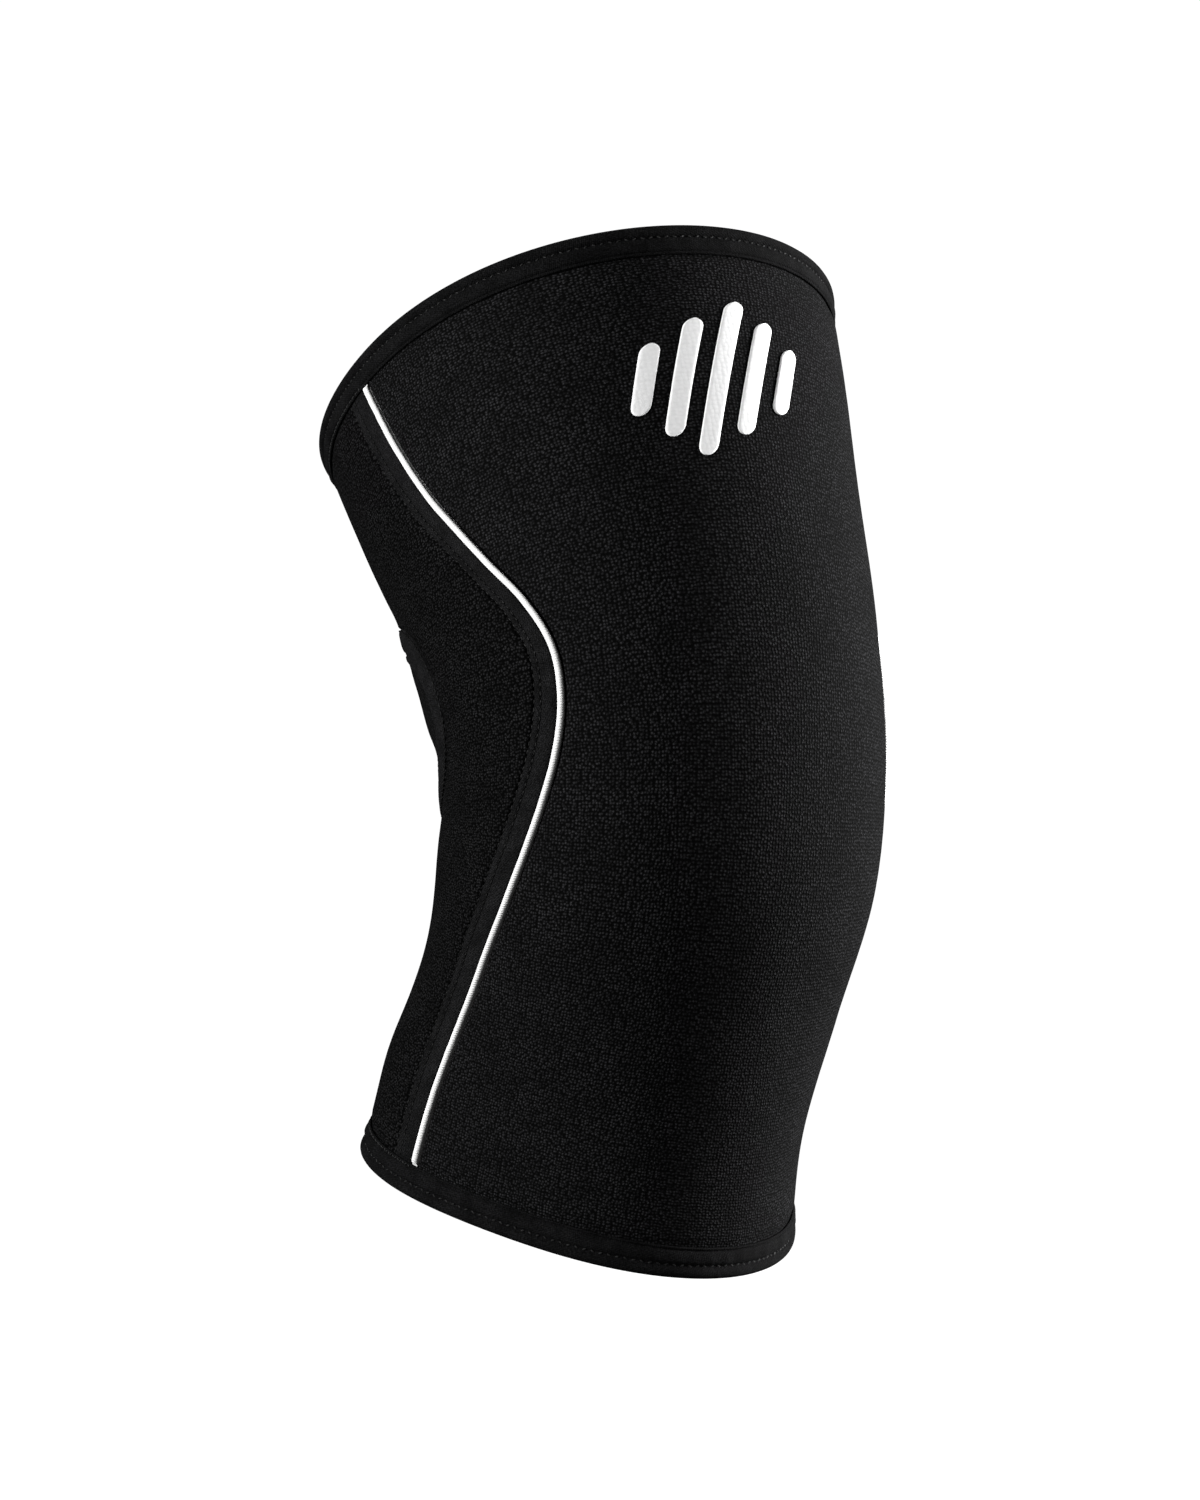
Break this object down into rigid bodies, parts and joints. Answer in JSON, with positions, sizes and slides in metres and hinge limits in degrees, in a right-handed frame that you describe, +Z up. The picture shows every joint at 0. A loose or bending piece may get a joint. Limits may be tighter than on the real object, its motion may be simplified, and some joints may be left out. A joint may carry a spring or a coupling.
{
  "type": "knee sleeve",
  "caption": "Pull-on knee sleeve in the bent shape it has on a leg, with rolled bindings at both ends, white corded side seams and an oval insert behind the knee.",
  "frame": {"origin": "middle of the leg at knee height, inside the sleeve", "axes": "+Z up the leg, -Y the front of the knee, +X to the right as seen from the front"},
  "size_m": [0.142, 0.1914, 0.2914],
  "materials": {
    "ribbed_knit": "matt, fine crosswise ribs",
    "smooth_knit": "matt, smooth",
    "stretch_knit": "matt, fine knit",
    "seam_tape": "matt, stitched",
    "binding_tape": "matt, stitched",
    "white_cord": "satin, fine ribs",
    "white_print": "matt"
  },
  "bodies": {
    "root": {"front_panel": "ribbed_knit", "back_panel": "smooth_knit", "knee_insert": "stretch_knit", "insert_band": "seam_tape", "piping_left": "white_cord", "piping_right": "white_cord", "seam_band_left": "seam_tape", "seam_band_right": "seam_tape", "top_binding": "binding_tape", "bottom_binding": "binding_tape", "print_bar_1": "white_print", "print_bar_2": "white_print", "print_bar_3": "white_print", "print_bar_4": "white_print", "print_bar_5": "white_print"}
  },
  "joints": []
}
